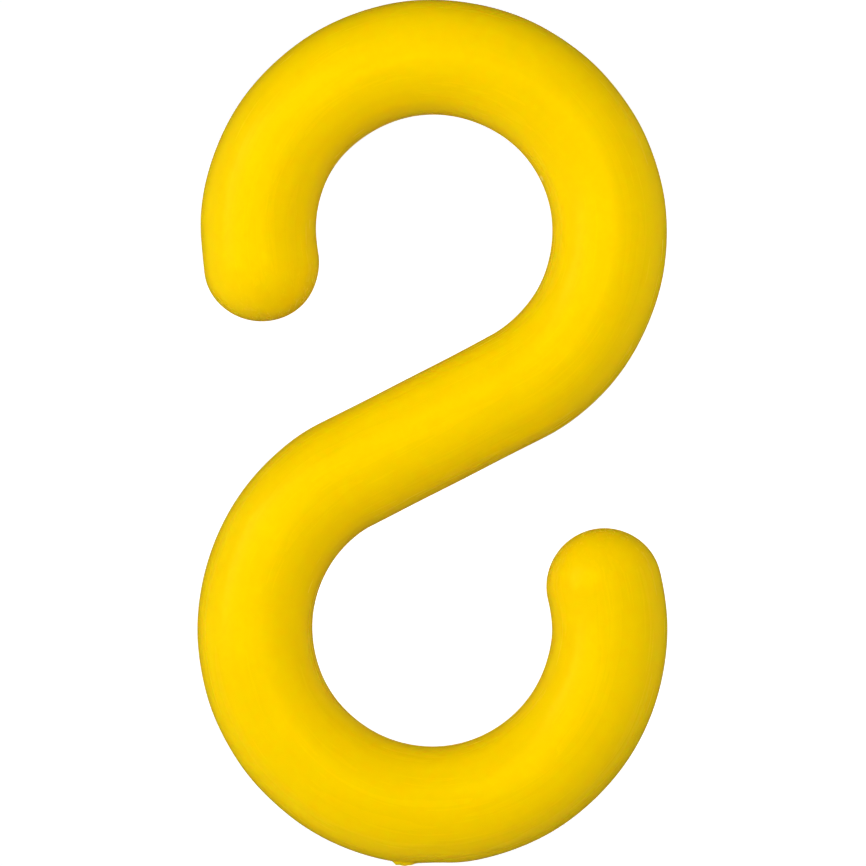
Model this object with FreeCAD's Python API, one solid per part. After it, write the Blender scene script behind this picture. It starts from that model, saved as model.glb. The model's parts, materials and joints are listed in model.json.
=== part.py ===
"""S-hook for plastic barrier chain: one solid injection moulding.

A round bar runs in one plane from a ball end, over the upper loop, down a straight shank
and round the lower loop to the other ball end. The upper loop opens to the left and the
lower loop to the right, so that the hook reads as a reversed letter S from the front.

Millimetres. +Z is up as the hook hangs, +X is to the right seen from the front, and Y runs
through the bar's thickness with the front at -Y. The origin is the top of the upper loop's
hollow, the point that bears on whatever the hook hangs from.
"""

import FreeCAD, Part
import os
from math import asin, cos, degrees, pi, radians, sin

# ---- driving dimensions ------------------------------------------------------------------
overall_length = 60.0  # top of the upper loop to the bottom of the lower loop
bar_diameter = 8.0  # round section, the same gauge as the chain's links
throat_radius = 8.25  # inside radius of each loop
upper_tip_reach = 10.0  # degrees that the upper loop runs on below its widest point
lower_tip_reach = 14.0  # degrees that the lower loop runs on above its widest point

# what is left of the moulding gate, on the outside of the lower loop
gate_angle = 7.5  # degrees to the left of the loop's lowest point
gate_base_radius = 0.75
gate_tip_radius = 0.4
gate_height = 0.3  # how far it stands out of the bar
gate_root = 0.5  # how far it is buried, so that its whole base lies inside the bar

# ---- dimensions that follow --------------------------------------------------------------
bar_radius = bar_diameter / 2
loop_radius = throat_radius + bar_radius  # of the bar's centreline
loop_spacing = overall_length - 2 * (loop_radius + bar_radius)  # loop centre to loop centre
# The shank is the crossing tangent of two equal circles: this is its tilt above level.
shank_tilt = 90.0 - degrees(asin(2 * loop_radius / loop_spacing))

upper_centre = FreeCAD.Vector(0, 0, -throat_radius)
lower_centre = FreeCAD.Vector(0, 0, -throat_radius - loop_spacing)


def spoke(angle):
    """Unit vector in the hook's plane, at so many degrees anticlockwise from +X."""
    return FreeCAD.Vector(cos(radians(angle)), 0, sin(radians(angle)))


def on_loop(centre, angle):
    """The point of a loop's centreline at that angle."""
    return centre + spoke(angle) * loop_radius


def loop_arc(centre, start, end):
    """A stretch of a loop's centreline between two angles."""
    middle = on_loop(centre, (start + end) / 2)
    return Part.Arc(on_loop(centre, start), middle, on_loop(centre, end)).toShape()


def centreline():
    """The bar's centreline from the upper tip to the lower one: arc, straight shank, arc."""
    upper_tip = 180.0 + upper_tip_reach
    upper_end = shank_tilt - 90.0
    lower_start = shank_tilt + 90.0
    lower_tip = 360.0 + lower_tip_reach
    upper_loop = loop_arc(upper_centre, upper_tip, upper_end)
    shank = Part.LineSegment(
        on_loop(upper_centre, upper_end), on_loop(lower_centre, lower_start)
    ).toShape()
    lower_loop = loop_arc(lower_centre, lower_start, lower_tip)
    return Part.Wire([upper_loop, shank, lower_loop])


def ball_end(centre, angle):
    """The half ball that closes the bar at a tip. At both tips the bar ends the way that
    angles grow round its loop."""
    out_of_bar = spoke(angle + 90.0)
    return Part.makeSphere(bar_radius, on_loop(centre, angle), out_of_bar, 0, 90, 360)


def bar():
    """The round section carried along the centreline, closed with a half ball at each tip."""
    path = centreline()
    start = on_loop(upper_centre, 180.0 + upper_tip_reach)
    start_section = Part.Circle(start, spoke(90.0 + upper_tip_reach), bar_radius).toShape()
    swept = path.makePipe(Part.Face(Part.Wire([start_section])))
    upper_ball = ball_end(upper_centre, 180.0 + upper_tip_reach)
    lower_ball = ball_end(lower_centre, lower_tip_reach)
    return swept.fuse([upper_ball, lower_ball]).removeSplitter()


def gate_vestige():
    """The blunt cone that is left where the runner was cut off."""
    out = spoke(270.0 - gate_angle)
    foot = lower_centre + out * (loop_radius + bar_radius - gate_root)
    slope = (gate_base_radius - gate_tip_radius) / gate_height
    root_radius = gate_base_radius + slope * gate_root
    return Part.makeCone(root_radius, gate_tip_radius, gate_root + gate_height, foot, out)


def s_hook():
    """The whole moulding as one solid."""
    moulding = bar().fuse(gate_vestige()).removeSplitter()
    assert len(moulding.Solids) == 1 and moulding.isValid()
    return moulding.Solids[0]


os.makedirs("parts", exist_ok=True)
hook = s_hook()
hook.exportStep("parts/s_hook.step")

# The bar's volume by hand, section times centreline plus the two half balls, as a check.
turned = radians(180.0 + upper_tip_reach + 90.0 - shank_tilt)
turned += radians(360.0 + lower_tip_reach - 90.0 - shank_tilt)
shank_length = (loop_spacing**2 - (2 * loop_radius) ** 2) ** 0.5
by_hand = pi * bar_radius**2 * (loop_radius * turned + shank_length)
by_hand += 4 / 3 * pi * bar_radius**3
print(f"volume {hook.Volume:.1f} mm3, by hand {by_hand:.1f} mm3 without the gate")
print(f"shank {shank_length:.2f} mm long at {shank_tilt:.2f} degrees, box {hook.BoundBox}")
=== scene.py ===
"""The look of a yellow plastic S-hook for barrier chain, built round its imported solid.

Metres. +Z is up as the hook hangs, +X is to the right seen from the front, and the front of
the hook is at -Y. The origin is the top of the upper loop's hollow. The bar's centreline
lies in the plane y = 0, and so does the parting line of the mould.
"""

import json
import math

import bpy
import numpy as np
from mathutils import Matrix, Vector


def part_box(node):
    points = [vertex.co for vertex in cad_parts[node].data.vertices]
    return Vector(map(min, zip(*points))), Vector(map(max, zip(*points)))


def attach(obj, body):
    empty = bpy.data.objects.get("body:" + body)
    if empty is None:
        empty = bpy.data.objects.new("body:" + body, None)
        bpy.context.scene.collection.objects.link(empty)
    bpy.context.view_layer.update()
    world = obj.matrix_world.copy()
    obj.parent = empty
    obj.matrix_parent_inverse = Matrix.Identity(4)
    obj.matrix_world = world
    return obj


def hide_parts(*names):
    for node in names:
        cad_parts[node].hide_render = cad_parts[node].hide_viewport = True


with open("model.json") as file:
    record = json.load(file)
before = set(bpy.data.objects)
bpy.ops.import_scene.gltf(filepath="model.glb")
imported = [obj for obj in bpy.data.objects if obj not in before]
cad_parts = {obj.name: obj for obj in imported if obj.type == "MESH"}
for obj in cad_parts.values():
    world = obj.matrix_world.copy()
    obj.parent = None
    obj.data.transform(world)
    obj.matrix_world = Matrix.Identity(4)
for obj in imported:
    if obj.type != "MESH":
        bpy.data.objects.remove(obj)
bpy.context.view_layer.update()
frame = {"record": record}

MM = 0.001

# ---- sizes that the frame gives ----------------------------------------------------------
SEATS = {mount["name"]: mount["pos_m"] for mount in frame["record"]["mounts"]}
HOOK_LOW, HOOK_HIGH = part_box("s_hook")
BAR_RADIUS = (HOOK_HIGH[2] - SEATS["upper_seat"][2]) / 2
LOOP_RADIUS = (HOOK_HIGH[0] - HOOK_LOW[0]) / 2 - BAR_RADIUS  # of the bar's centreline
HOLLOW_RADIUS = LOOP_RADIUS - BAR_RADIUS
UPPER_CENTRE = np.array([0.0, SEATS["upper_seat"][2] - HOLLOW_RADIUS])  # x and z
LOWER_CENTRE_Z = SEATS["lower_seat"][2] + HOLLOW_RADIUS

# ---- how the moulding runs ---------------------------------------------------------------
# Angles are in degrees. The two corners where the shank joins the loops are tighter than
# the loops themselves.
UPPER_TIP_REACH = 9.9  # that the upper loop runs on below its widest point
LOWER_TIP_REACH = 13.9  # that the lower loop runs on above its widest point
SHANK_TILT = 27.02  # above level
UPPER_CORNER_TURN = 23.5
UPPER_CORNER_RADIUS = 11.3 * MM
LOWER_CORNER_TURN = 10.2
LOWER_CORNER_RADIUS = 9.2 * MM
LOWER_LOOP_RADIUS = LOOP_RADIUS + 0.08 * MM

# ---- fine marks of moulding --------------------------------------------------------------
SEAM_HEIGHT = 0.03 * MM  # the witness line where the two halves of the mould met
SEAM_HALF_WIDTH = 0.10 * MM
LOWER_SWELL = 0.11 * MM  # the bar is this much thicker in radius round the lower loop
LOWER_TIP_SWELL = 0.03 * MM  # the same at the lower tip
SWELL_RISES = (0.65, 0.785)  # between these parts of the bar's length
SWELL_FALLS = (0.88, 1.0)
GATE_X = -2.2 * MM  # where the runner was cut off, under the lower loop
GATE_HEIGHT = 0.2 * MM
GATE_LEFT_FLANK = (-0.72 * MM, -0.34 * MM)  # from GATE_X, from the foot to the top
GATE_RIGHT_FLANK = (0.3 * MM, 1.2 * MM)  # from the top to the foot
GATE_SIDE_FLANK = (0.42 * MM, 0.78 * MM)  # from the plane y = 0, from the top to the foot
TEAR_DEPTH = 0.12  # of the gate's height
TEAR_WAVE = 0.09 * MM  # the length of its waves along the bar, over 2 pi
TEAR_SWAY = 0.13 * MM  # the same for how they sway across it
GATE_FLAT_DEPTH = 0.13 * MM
GATE_FLAT_PLACE = 2.3 * MM  # to the right of GATE_X
GATE_FLAT_HALF_LENGTH = 1.5 * MM
GATE_FLAT_HALF_WIDTH = 2.4 * MM
RIPPLE_HEIGHT = 0.008 * MM
RIPPLE_WAVES = 6
RIPPLE_LONGEST = 14 * MM
RIPPLE_SHORTENING = 1.8 * MM  # from each wave to the next
# Uneven sides: middle (x, z), half width and height in mm, of a swelling or a hollow that
# wraps the edge of the bar where it stands.
UNEVEN_SIDES = {
    "shoulder_inside_upper_tip": (-8.2, -9.5, 1.7, 0.10),
    "flat_outside_upper_tip": (-16.3, -9.9, 1.9, -0.09),
    "fullness_under_upper_tip": (-9.3, -13.0, 2.3, 0.13),
    "hollow_inside_upper_loop_left": (-7.7, -3.2, 2.4, -0.06),
    "hollow_inside_upper_loop_right": (7.3, -4.4, 4.2, -0.075),
    "swelling_inside_upper_corner": (6.2, -14.2, 2.4, 0.085),
    "hollow_inside_lower_tip": (8.3, -36.0, 1.3, -0.05),
}
SIDE_DEPTH_SHARE = 0.6  # the share of the distance in y that an uneven side counts
# Marks on the front: middle (x, z), tilt above level in degrees, half length, half width
# and height in mm.
FRONT_MARKS = {
    "sink_on_upper_loop": (7.9, -1.0, -53, 1.7, 0.45, -0.022),
    "sink_beside_it": (5.6, 0.9, -38, 2.2, 0.55, -0.012),
    "dimple_on_upper_tip": (-12.7, -10.3, 0, 1.1, 1.1, -0.035),
    "flow_line_at_corner": (9.7, -16.5, 39, 2.4, 0.30, 0.012),
    "nib_on_lower_loop": (0.1, -46.1, 15, 0.42, 0.34, 0.03),
}

# ---- how finely the surface is divided ---------------------------------------------------
RING_POINTS = 128
RING_CROWDING = 0.8  # 0 spreads a ring's points evenly, near 1 crowds them at the seam
BAR_STEP = 0.22 * MM
GATE_STEP = 0.05 * MM
GATE_REACH = (1.2 * MM, 1.5 * MM)  # that the close rings run before and past the gate
CAP_STEPS = 26
ROUNDING = 1e-12  # lengths closer than this are the same


# ---- the centreline ----------------------------------------------------------------------
def heading_to_way(heading):
    """Unit (x, z) travel directions for headings in radians, anticlockwise from +X."""
    return np.stack([np.cos(heading), np.sin(heading)], axis=-1)


class Centreline:
    """A chain of runs that meet without a kink, each straight or a stretch of a circle.

    Along a run the heading is the run's first heading plus curvature times length. The
    place is the run's first place plus the integral of the heading's direction: on a
    circle (sin h - sin h0, cos h0 - cos h) over the curvature."""

    def __init__(self, place, heading, runs):
        self.starts = [0.0]
        self.places = [np.array(place)]
        self.headings = [heading]
        self.curvatures = [turn / length for length, turn in runs]
        for index, (length, turn) in enumerate(runs):
            end, end_heading = self.on_run(index, np.array([length]))
            self.starts.append(self.starts[-1] + length)
            self.places.append(end[0])
            self.headings.append(end_heading[0])
        self.length = self.starts[-1]

    def on_run(self, index, distance):
        """Places and headings at distances from the start of one run."""
        curvature = self.curvatures[index]
        first = self.headings[index]
        heading = first + curvature * distance
        if curvature == 0:
            moved = distance[:, None] * heading_to_way(heading)
        else:
            moved = np.stack(
                [np.sin(heading) - np.sin(first), np.cos(first) - np.cos(heading)], axis=-1
            )
            moved = moved / curvature
        return self.places[index] + moved, heading

    def at(self, length):
        """Places and headings at lengths along the whole chain."""
        place = np.zeros((len(length), 2))
        heading = np.zeros(len(length))
        for index in range(len(self.curvatures)):
            mine = length >= self.starts[index] - ROUNDING
            distance = length[mine] - self.starts[index]
            place[mine], heading[mine] = self.on_run(index, distance)
        return place, heading


def hook_runs(shank_length):
    """(length, turn) of each run from the upper tip to the lower one, turns in radians and
    positive anticlockwise: loop, corner, shank, corner, loop."""
    upper_turn = math.radians(270 + UPPER_TIP_REACH - SHANK_TILT - UPPER_CORNER_TURN)
    upper_corner = math.radians(UPPER_CORNER_TURN)
    lower_corner = math.radians(LOWER_CORNER_TURN)
    lower_turn = math.radians(270 + LOWER_TIP_REACH - SHANK_TILT - LOWER_CORNER_TURN)
    return [
        (upper_turn * LOOP_RADIUS, -upper_turn),
        (upper_corner * UPPER_CORNER_RADIUS, -upper_corner),
        (shank_length, 0.0),
        (lower_corner * LOWER_CORNER_RADIUS, lower_corner),
        (lower_turn * LOWER_LOOP_RADIUS, lower_turn),
    ]


def loop_centre(line):
    """Centre of the last run's circle: its radius to the left of where that run starts."""
    heading = line.headings[-2]
    return line.places[-2] + LOWER_LOOP_RADIUS * np.array([-np.sin(heading), np.cos(heading)])


def hook_centreline():
    """The bar's centreline. The shank is as long as it takes to bring the lower loop's
    centre to the height that the frame gives it."""
    tip_angle = math.radians(180 + UPPER_TIP_REACH)
    tip = UPPER_CENTRE + LOOP_RADIUS * np.array([math.cos(tip_angle), math.sin(tip_angle)])
    heading = tip_angle - math.pi / 2
    trial_length = 10 * MM
    trial = Centreline(tip, heading, hook_runs(trial_length))
    missing = loop_centre(trial)[1] - LOWER_CENTRE_Z
    shank_length = trial_length + missing / math.sin(math.radians(SHANK_TILT))
    return Centreline(tip, heading, hook_runs(shank_length))


# ---- the surface -------------------------------------------------------------------------
def smooth_step(value, start, end):
    """0 before start, 1 after end, and 3t^2 - 2t^3 between them."""
    part = np.clip((value - start) / (end - start), 0, 1)
    return part * part * (3 - 2 * part)


def bell(value, half_width):
    """1 at zero, falling off as exp(-(value / half_width)^2)."""
    return np.exp(-((value / half_width) ** 2))


def bar_swell(part):
    """Growth of the bar's radius at a part of its length: a soft step up to the lower
    loop's swell, and then one down to the lower tip's."""
    rise = smooth_step(part, *SWELL_RISES)
    fall = smooth_step(part, *SWELL_FALLS)
    return LOWER_SWELL * rise - (LOWER_SWELL - LOWER_TIP_SWELL) * fall


def seam(place):
    """Height of the witness line: a bell curve of the distance from the plane y = 0."""
    return SEAM_HEIGHT * bell(place[..., 1], SEAM_HALF_WIDTH)


def gate_stub(place):
    """Height of the stub that is left of the gate: a blunt mound on the underside, steep on
    its left, drawn out on its right, and a little torn on top. The bar is slightly flat
    beside it."""
    under = place[..., 2] < LOWER_CENTRE_Z - LOWER_LOOP_RADIUS
    along = place[..., 0] - GATE_X
    across = place[..., 1]
    left = smooth_step(along, *GATE_LEFT_FLANK)
    right = 1 - smooth_step(along, *GATE_RIGHT_FLANK)
    sides = 1 - smooth_step(np.abs(across), *GATE_SIDE_FLANK)
    tear = 1 + TEAR_DEPTH * np.sin(along / TEAR_WAVE + 2 * np.sin(across / TEAR_SWAY))
    mound = GATE_HEIGHT * left * right * sides * tear
    flat = bell(along - GATE_FLAT_PLACE, GATE_FLAT_HALF_LENGTH)
    flat = GATE_FLAT_DEPTH * flat * bell(across, GATE_FLAT_HALF_WIDTH)
    return under * (mound - flat)


def ripple(place):
    """Uneven shrinkage: plane waves, each shorter than the last, their directions spread by
    the golden angle from +Z to -Z."""
    height = 0.0
    for index in range(RIPPLE_WAVES):
        rise = 1 - (2 * index + 1) / RIPPLE_WAVES
        around = index * math.pi * (3 - math.sqrt(5))
        reach = math.sqrt(1 - rise * rise)
        way = np.array([reach * math.cos(around), reach * math.sin(around), rise])
        wave_length = RIPPLE_LONGEST - RIPPLE_SHORTENING * index
        height = height + np.sin(2 * math.pi * (place @ way) / wave_length + index)
    return RIPPLE_HEIGHT * height


def uneven_sides(place):
    """Sum of soft bells of the distance from each middle, counting only a share of the depth
    from the plane y = 0, so that a bell wraps the side of the bar."""
    shares = np.array([1.0, SIDE_DEPTH_SHARE, 1.0])
    height = 0.0
    for x, z, half_width, rise in UNEVEN_SIDES.values():
        middle = np.array([x, 0.0, z]) * MM
        away = np.linalg.norm((place - middle) * shares, axis=-1)
        height = height + rise * MM * bell(away, half_width * MM)
    return height


def front_marks(place):
    """Sum of long bells on the front half: each is a bell along its tilt times a bell
    across it."""
    height = 0.0
    for x, z, tilt, half_length, half_width, rise in FRONT_MARKS.values():
        right = place[..., 0] - x * MM
        up = place[..., 2] - z * MM
        cosine = math.cos(math.radians(tilt))
        sine = math.sin(math.radians(tilt))
        along = bell(cosine * right + sine * up, half_length * MM)
        across = bell(cosine * up - sine * right, half_width * MM)
        height = height + rise * MM * along * across
    return height * (place[..., 1] < 0)


def lengths_along(line):
    """Where the rings stand along the bar: evenly, and closer together at the gate."""
    even = np.linspace(0, line.length, int(line.length / BAR_STEP))
    centre = loop_centre(line)
    angle = math.pi * 1.5 + math.asin((GATE_X - centre[0]) / (LOWER_LOOP_RADIUS + BAR_RADIUS))
    first_angle = line.headings[-2] - math.pi / 2
    gate = line.starts[-2] + LOWER_LOOP_RADIUS * ((angle - first_angle) % (2 * math.pi))
    close = np.arange(gate - GATE_REACH[0], gate + GATE_REACH[1], GATE_STEP)
    even = even[(even < close[0] - GATE_STEP) | (even > close[-1] + GATE_STEP)]
    return np.sort(np.concatenate([even, close]))


def hook_surface():
    """Vertices, faces and straightened places of the moulding.

    Every ring shares one formula: centre + radius * normal, where the normal is
    cos(lean) * (cos(turn) * sideways + sin(turn) * Y) + sin(lean) * travel. Along the bar
    the lean is 0, and at each tip it goes to a quarter turn while the centre stands still,
    which closes the bar with a half ball. The radius is the bar's with its swell. The fine
    marks then lift or sink each point along its own normal. The straightened place is where
    the same formula puts a point when the bar's centreline is laid along X."""
    line = hook_centreline()
    length = lengths_along(line)
    cap = np.linspace(np.pi / 2, 0, CAP_STEPS, endpoint=False)[1:]
    lean = np.concatenate([-cap, np.zeros(len(length)), cap[::-1]])
    length = np.concatenate([np.zeros(len(cap)), length, np.full(len(cap), line.length)])
    place, heading = line.at(length)
    way = heading_to_way(heading)

    centre = np.stack([place[:, 0], 0 * heading, place[:, 1]], axis=-1)[:, None, :]
    travel = np.stack([way[:, 0], 0 * heading, way[:, 1]], axis=-1)[:, None, :]
    depth = np.array([0.0, 1.0, 0.0])
    sideways = np.cross(travel, depth)
    even_turn = np.arange(RING_POINTS) * 2 * np.pi / RING_POINTS
    turn = (even_turn - RING_CROWDING / 2 * np.sin(2 * even_turn))[None, :, None]
    lean = lean[:, None, None]
    normal = np.cos(lean) * (np.cos(turn) * sideways + np.sin(turn) * depth)
    normal = normal + np.sin(lean) * travel
    radius = BAR_RADIUS - SEAM_HEIGHT + bar_swell(length / line.length)
    smooth = centre + radius[:, None, None] * normal
    poles = np.stack([centre[0] - radius[0] * travel[0], centre[-1] + radius[-1] * travel[-1]])
    pole_normals = np.stack([-travel[0], travel[-1]])

    vertices = np.concatenate([smooth.reshape(-1, 3), poles.reshape(-1, 3)])
    normals = np.concatenate([normal.reshape(-1, 3), pole_normals.reshape(-1, 3)])
    marks = seam(vertices) + gate_stub(vertices) + ripple(vertices)
    marks = marks + uneven_sides(vertices) + front_marks(vertices)
    vertices = vertices + marks[:, None] * normals
    quads, fans = tube_faces(len(length), RING_POINTS)
    return vertices, quads, fans, straightened(length, lean, turn, line.length)


def straightened(length, lean, turn, whole):
    """Places on the bar laid straight: length plus radius * sin(lean) along X, and radius *
    cos(lean) * (cos(turn), sin(turn)) across it, with the two poles last."""
    along = length[:, None, None] + BAR_RADIUS * np.sin(lean) + 0 * turn
    across = BAR_RADIUS * np.cos(lean) * np.cos(turn)
    deep = BAR_RADIUS * np.cos(lean) * np.sin(turn)
    places = np.concatenate([along, across, deep], axis=-1).reshape(-1, 3)
    poles = np.array([[-BAR_RADIUS, 0, 0], [whole + BAR_RADIUS, 0, 0]])
    return np.concatenate([places, poles])


def tube_faces(rings, points):
    """Quads between neighbouring rings, and triangles from the first and the last ring to
    a pole each. The poles come after the rings' vertices."""
    ring = np.arange(rings - 1)[:, None] * points
    column = np.arange(points)[None, :]
    following = (column + 1) % points
    quads = np.stack(
        [ring + column, ring + points + column, ring + points + following, ring + following],
        axis=-1,
    ).reshape(-1, 4)
    column = column[0]
    following = following[0]
    last = (rings - 1) * points
    first_pole = np.full(points, rings * points)
    first_fan = np.stack([first_pole, column, following], axis=-1)
    last_fan = np.stack([first_pole + 1, last + following, last + column], axis=-1)
    return quads, np.concatenate([first_fan, last_fan])


def make_piece(name, vertices, quads, triangles, material):
    """A smooth shaded mesh object at the origin."""
    mesh = bpy.data.meshes.new(name)
    mesh.from_pydata(vertices.tolist(), [], quads.tolist() + triangles.tolist())
    mesh.polygons.foreach_set("use_smooth", np.ones(len(mesh.polygons), bool))
    mesh.materials.append(material)
    piece = bpy.data.objects.new(name, mesh)
    bpy.context.scene.collection.objects.link(piece)
    return piece


def keep_straightened(piece, places):
    """Stores each vertex's place on the straightened bar, for finishes that follow it."""
    stored = piece.data.attributes.new("straight_bar", "FLOAT_VECTOR", "POINT")
    stored.data.foreach_set("vector", places.ravel())


# ---- the plastic -------------------------------------------------------------------------
PLASTIC_LIGHT = (0.818, 0.560, 0.0, 1)
PLASTIC_DEEP = (0.794, 0.541, 0.0, 1)
PLASTIC_FLECK = (0.95, 0.73, 0.14, 1)
CLOUD_SIZE = 6 * MM
FLOW_LENGTH = 16 * MM
FLOW_WIDTH = 0.9 * MM
TINT_RANGE = (0.7, 1.3)  # of clouds and flow added, from the light to the deep colour
SATIN_ROUGHNESS = 0.25
FLOW_RANGE = (0.3, 0.7)  # of the flow's noise, over which the roughness changes
FLOW_DULLING = (-0.02, 0.03)  # added to the roughness at the two ends of that range
SKIN_GRAIN = 0.4 * MM
SKIN_HEIGHT = 0.0018 * MM
SCUFF_LENGTH = 5 * MM
SCUFF_WIDTH = 0.22 * MM
SCUFF_SLANTS = (0.6, -0.5)  # radians that the two sets lean from the bar's run
SCUFF_CRESTS = ((0.66, 0.74), (0.67, 0.75))  # of each set's noise, from no scuff to a full one
SCUFF_ROUGHNESS = 0.33
SCUFF_GROOVE = -0.35  # of the skin's height
PATCH_SIZE = 9 * MM
PATCH_RANGE = (0.48, 0.62)  # of the patches' noise, from outside a patch to inside it
OUTSIDE_PATCH = 0.15  # the share of a scuff that is left there
FLECK_SPACING = 5 * MM
FLECK_RADIUS = (0.03, 0.055)  # of the spacing, where the colour is full and where it ends
FLECK_CHOICE = (0.6, 0.65)  # of the cells' random numbers, from no fleck to a full one
SHINE = 0.3
SHINE_TINT = (1.0, 0.75, 0.0, 1)
DEEP_LIGHT = 0.5  # the share of light that enters the plastic and scatters
DEEP_LIGHT_COLOURS = (1.0, 0.3, 0.05)  # how far red, green and blue scatter, of the reach
DEEP_LIGHT_REACH = 2.2 * MM


def blotches(tree, place, size, detail, turned=0.0):
    """Noise between 0 and 1 with blotches of the given size along each axis, read from
    places that are first turned about Z."""
    turning = tree.nodes.new("ShaderNodeMapping")
    turning.inputs["Rotation"].default_value = (0, 0, turned)
    turning.inputs["Scale"].default_value = [1 / axis for axis in size]
    noise = tree.nodes.new("ShaderNodeTexNoise")
    noise.inputs["Scale"].default_value = 1.0
    noise.inputs["Detail"].default_value = detail
    tree.links.new(place, turning.inputs["Vector"])
    tree.links.new(turning.outputs["Vector"], noise.inputs["Vector"])
    return noise.outputs["Fac"]


def spread(tree, value, start, end, low, high):
    """A value between start and end, carried smoothly to between low and high."""
    change = tree.nodes.new("ShaderNodeMapRange")
    change.interpolation_type = "SMOOTHSTEP"
    change.inputs["From Min"].default_value = start
    change.inputs["From Max"].default_value = end
    change.inputs["To Min"].default_value = low
    change.inputs["To Max"].default_value = high
    tree.links.new(value, change.inputs["Value"])
    return change.outputs["Result"]


def combined(tree, operation, first, second):
    """Two values added, multiplied or compared. The second may be a plain number."""
    maths = tree.nodes.new("ShaderNodeMath")
    maths.operation = operation
    tree.links.new(first, maths.inputs[0])
    if isinstance(second, float):
        maths.inputs[1].default_value = second
    else:
        tree.links.new(second, maths.inputs[1])
    return maths.outputs["Value"]


def tinted(tree, amount, first, second):
    """A colour that goes from the first to the second by an amount. The first may be a
    socket or a colour."""
    blend = tree.nodes.new("ShaderNodeMix")
    blend.data_type = "RGBA"
    sockets = {socket.identifier: socket for socket in blend.inputs}
    tree.links.new(amount, sockets["Factor_Float"])
    if isinstance(first, tuple):
        sockets["A_Color"].default_value = first
    else:
        tree.links.new(first, sockets["A_Color"])
    sockets["B_Color"].default_value = second
    return next(socket for socket in blend.outputs if socket.identifier == "Result_Color")


def plastic_flecks(tree, place):
    """1 in rare pale specks of unmixed plastic: the middles of scattered cells, of which
    only those whose random number is high have one."""
    cells = tree.nodes.new("ShaderNodeTexVoronoi")
    cells.inputs["Scale"].default_value = 1 / FLECK_SPACING
    tree.links.new(place, cells.inputs["Vector"])
    middle = spread(tree, cells.outputs["Distance"], *FLECK_RADIUS, 1, 0)
    chosen = spread(tree, cells.outputs["Color"], *FLECK_CHOICE, 0, 1)
    return combined(tree, "MULTIPLY", middle, chosen)


def plastic_scuffs(tree, straight):
    """1 in fine scuffs: the crests of noise drawn out one way and then the other across
    the bar, strong only inside larger patches."""
    size = (SCUFF_LENGTH, SCUFF_WIDTH, SCUFF_WIDTH)
    one_way, other_way = (
        spread(tree, blotches(tree, straight, size, 1.0, slant), *crest, 0, 1)
        for slant, crest in zip(SCUFF_SLANTS, SCUFF_CRESTS)
    )
    patches = blotches(tree, straight, (PATCH_SIZE,) * 3, 1.0)
    patches = spread(tree, patches, *PATCH_RANGE, OUTSIDE_PATCH, 1)
    return combined(tree, "MULTIPLY", combined(tree, "MAXIMUM", one_way, other_way), patches)


def yellow_plastic():
    """Saturated yellow plastic with a satin moulded skin. Faint clouds and lines where the
    melt flowed along the bar tint it, handling has left fine dull scuffs, and here and
    there a pale speck shows."""
    material = bpy.data.materials.new("yellow_plastic_satin")
    material.use_nodes = True
    tree = material.node_tree
    shader = tree.nodes["Principled BSDF"]
    place = tree.nodes.new("ShaderNodeTexCoord").outputs["Object"]
    kept = tree.nodes.new("ShaderNodeAttribute")
    kept.attribute_name = "straight_bar"
    straight = kept.outputs["Vector"]

    clouds = blotches(tree, place, (CLOUD_SIZE,) * 3, 2.0)
    flow = blotches(tree, straight, (FLOW_LENGTH, FLOW_WIDTH, FLOW_WIDTH), 2.0)
    tint = spread(tree, combined(tree, "ADD", clouds, flow), *TINT_RANGE, 0, 1)
    colour = tinted(tree, tint, PLASTIC_LIGHT, PLASTIC_DEEP)
    colour = tinted(tree, plastic_flecks(tree, place), colour, PLASTIC_FLECK)
    tree.links.new(colour, shader.inputs["Base Color"])

    scuffs = plastic_scuffs(tree, straight)
    skin = blotches(tree, place, (SKIN_GRAIN,) * 3, 2.0)
    dulling = spread(tree, flow, *FLOW_RANGE, *FLOW_DULLING)
    satin = combined(tree, "ADD", dulling, SATIN_ROUGHNESS)
    dulled = combined(tree, "MULTIPLY", scuffs, SCUFF_ROUGHNESS - SATIN_ROUGHNESS)
    tree.links.new(combined(tree, "ADD", satin, dulled), shader.inputs["Roughness"])

    bump = tree.nodes.new("ShaderNodeBump")
    bump.inputs["Distance"].default_value = SKIN_HEIGHT
    grooved = combined(tree, "MULTIPLY", scuffs, SCUFF_GROOVE)
    tree.links.new(combined(tree, "ADD", skin, grooved), bump.inputs["Height"])
    tree.links.new(bump.outputs["Normal"], shader.inputs["Normal"])

    shader.inputs["Specular IOR Level"].default_value = SHINE
    shader.inputs["Specular Tint"].default_value = SHINE_TINT
    shader.inputs["Subsurface Weight"].default_value = DEEP_LIGHT
    shader.inputs["Subsurface Radius"].default_value = DEEP_LIGHT_COLOURS
    shader.inputs["Subsurface Scale"].default_value = DEEP_LIGHT_REACH
    return material


# ---- the studio --------------------------------------------------------------------------
VIEW_CENTRE = Vector((-0.03 * MM, 0, -22.15 * MM))
FRAME_WIDTH = 60.27 * MM
CAMERA_DISTANCE = 0.4
NEAREST_SEEN = 0.01
FLOOR_DROP = 20 * MM  # from the hook's lowest point
COVE_RADIUS = 0.85
COVE_CORNER = 0.6
COVE_HEIGHT = 0.62
CORNER_RINGS = 24
FLOOR_RINGS = 4  # between the floor's middle and the corner
COVE_SIDES = 96
CLOTH_WHITE = (0.88, 0.88, 0.88, 1)
CLOTH_ROUGHNESS = 0.9
CLOTH_SHINE = 0.1
# Painted light: the cove's cloth glows by its own emission, more towards the back and round
# the rim.
BACK_GLOW = 0.47
BACK_GLOW_NEAR = 0.0  # the distance in y where the glow starts, and where it is full
BACK_GLOW_FAR = 0.30
RIM_GLOW = 0.17
RIM_GLOW_NEAR = 0.15  # the same for the distance from the origin
RIM_GLOW_FAR = 0.6
WHITE = (1, 1, 1, 1)
AIR_LIGHT = 0.02
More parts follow.
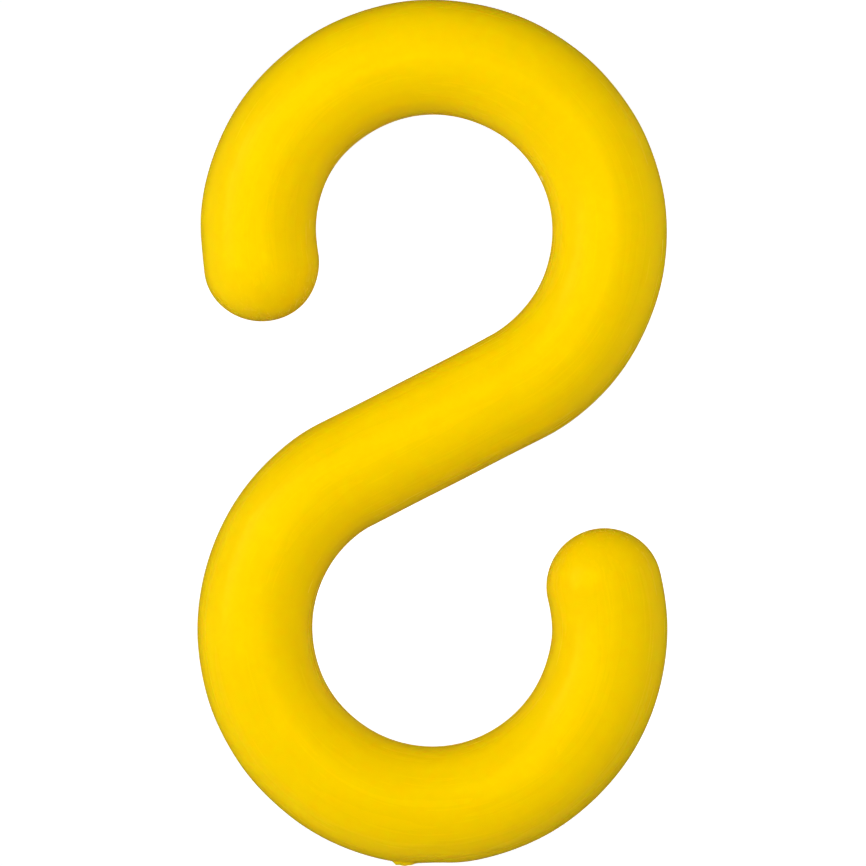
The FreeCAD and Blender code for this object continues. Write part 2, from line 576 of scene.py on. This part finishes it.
# The soft lamps: name, place and size in metres, power in watts, and whether the plastic
# mirrors it.
SOFT_BOXES = (
    ("key_box", (-0.22, -0.27, 0.07), (0.42, 0.26), 1.08, True),
    ("fill_box", (0.33, -0.19, 0.30), (0.3, 0.3), 0.76, False),
    ("front_box", (0.04, -0.45, -0.015), (0.1, 0.1), 0.19, True),
    ("back_box", (0.12, 0.42, 0.24), (0.4, 0.3), 0.38, False),
)


def cove():
    """A round pale floor whose rim curves up into a wall: a profile turned about Z. The
    floor's middle is one more vertex, so only the fan round that one is used. The plastic
    doesn't mirror the cove."""
    floor_z = HOOK_LOW[2] - FLOOR_DROP
    corner = np.linspace(0, np.pi / 2, CORNER_RINGS)
    corner_reach = COVE_RADIUS - COVE_CORNER * (1 - np.sin(corner))
    corner_height = COVE_CORNER * (1 - np.cos(corner))
    floor_reach = np.linspace(0, corner_reach[0], FLOOR_RINGS + 2)[1:-1]
    reach = np.concatenate([floor_reach, corner_reach, [COVE_RADIUS]])[:, None]
    height = np.concatenate([np.zeros(FLOOR_RINGS), corner_height, [COVE_HEIGHT]])[:, None]
    turn = np.linspace(0, 2 * np.pi, COVE_SIDES, endpoint=False)
    rings = np.stack(
        np.broadcast_arrays(reach * np.cos(turn), reach * np.sin(turn), floor_z + height),
        axis=-1,
    )
    vertices = np.concatenate([rings.reshape(-1, 3), [[0, 0, floor_z]]])
    quads, fans = tube_faces(len(reach), COVE_SIDES)
    floor = make_piece("studio_cove", vertices, quads, fans[:COVE_SIDES], glowing_pale_cloth())
    floor.visible_glossy = False


def glowing_pale_cloth():
    """The cove's white cloth with a painted glow: the cloth itself emits light, softly all
    round its rim, and more towards the back, both rising smoothly from nothing beside the
    hook."""
    material = bpy.data.materials.new("glowing_pale_cove_cloth")
    material.use_nodes = True
    nodes = material.node_tree.nodes
    links = material.node_tree.links
    shader = nodes["Principled BSDF"]
    shader.inputs["Base Color"].default_value = CLOTH_WHITE
    shader.inputs["Roughness"].default_value = CLOTH_ROUGHNESS
    shader.inputs["Specular IOR Level"].default_value = CLOTH_SHINE
    shader.inputs["Emission Color"].default_value = WHITE
    place = nodes.new("ShaderNodeTexCoord").outputs["Object"]
    axes = nodes.new("ShaderNodeSeparateXYZ")
    reach = nodes.new("ShaderNodeVectorMath")
    reach.operation = "LENGTH"
    links.new(place, axes.inputs["Vector"])
    links.new(place, reach.inputs["Vector"])
    glow = nodes.new("ShaderNodeMath")
    for source, near, far, strength, socket in (
        (axes.outputs["Y"], BACK_GLOW_NEAR, BACK_GLOW_FAR, BACK_GLOW, 0),
        (reach.outputs["Value"], RIM_GLOW_NEAR, RIM_GLOW_FAR, RIM_GLOW, 1),
    ):
        rise = nodes.new("ShaderNodeMapRange")
        rise.interpolation_type = "SMOOTHSTEP"
        rise.inputs["From Min"].default_value = near
        rise.inputs["From Max"].default_value = far
        rise.inputs["To Max"].default_value = strength
        links.new(source, rise.inputs["Value"])
        links.new(rise.outputs["Result"], glow.inputs[socket])
    # Painted glow: the cloth's emission, graded by the distance back and from the middle.
    links.new(glow.outputs["Value"], shader.inputs["Emission Strength"])
    return material


def soft_box(name, place, size, power, mirrored):
    """A rectangular area lamp at a place, facing the middle of the view. The camera never
    sees it, and glossy surfaces mirror it only where that is asked for."""
    lamp = bpy.data.lights.new(name, "AREA")
    lamp.shape = "RECTANGLE"
    lamp.size, lamp.size_y = size
    lamp.energy = power
    holder = bpy.data.objects.new(name, lamp)
    holder.location = place
    holder.rotation_euler = (VIEW_CENTRE - Vector(place)).to_track_quat("-Z", "Y").to_euler()
    holder.visible_camera = False
    holder.visible_glossy = mirrored
    bpy.context.scene.collection.objects.link(holder)


def studio():
    """Soft lamps, even air light and the camera, level with the middle of the hook."""
    scene = bpy.context.scene
    scene.view_settings.view_transform = "Standard"
    world = bpy.data.worlds.new("studio_air")
    world.use_nodes = True
    air = world.node_tree.nodes["Background"]
    air.inputs["Color"].default_value = WHITE
    air.inputs["Strength"].default_value = AIR_LIGHT
    scene.world = world
    for soft_box_values in SOFT_BOXES:
        soft_box(*soft_box_values)

    lens = bpy.data.cameras.new("camera")
    lens.lens = lens.sensor_width * CAMERA_DISTANCE / FRAME_WIDTH
    lens.clip_start = NEAREST_SEEN
    camera = bpy.data.objects.new("camera", lens)
    camera.location = VIEW_CENTRE - Vector((0, CAMERA_DISTANCE, 0))
    camera.rotation_euler = (math.pi / 2, 0, 0)
    scene.collection.objects.link(camera)
    scene.camera = camera


*hook_mesh, straight_places = hook_surface()
hook = make_piece("s_hook_moulding", *hook_mesh, yellow_plastic())
keep_straightened(hook, straight_places)
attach(hook, "root")
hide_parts("s_hook")
cove()
studio()
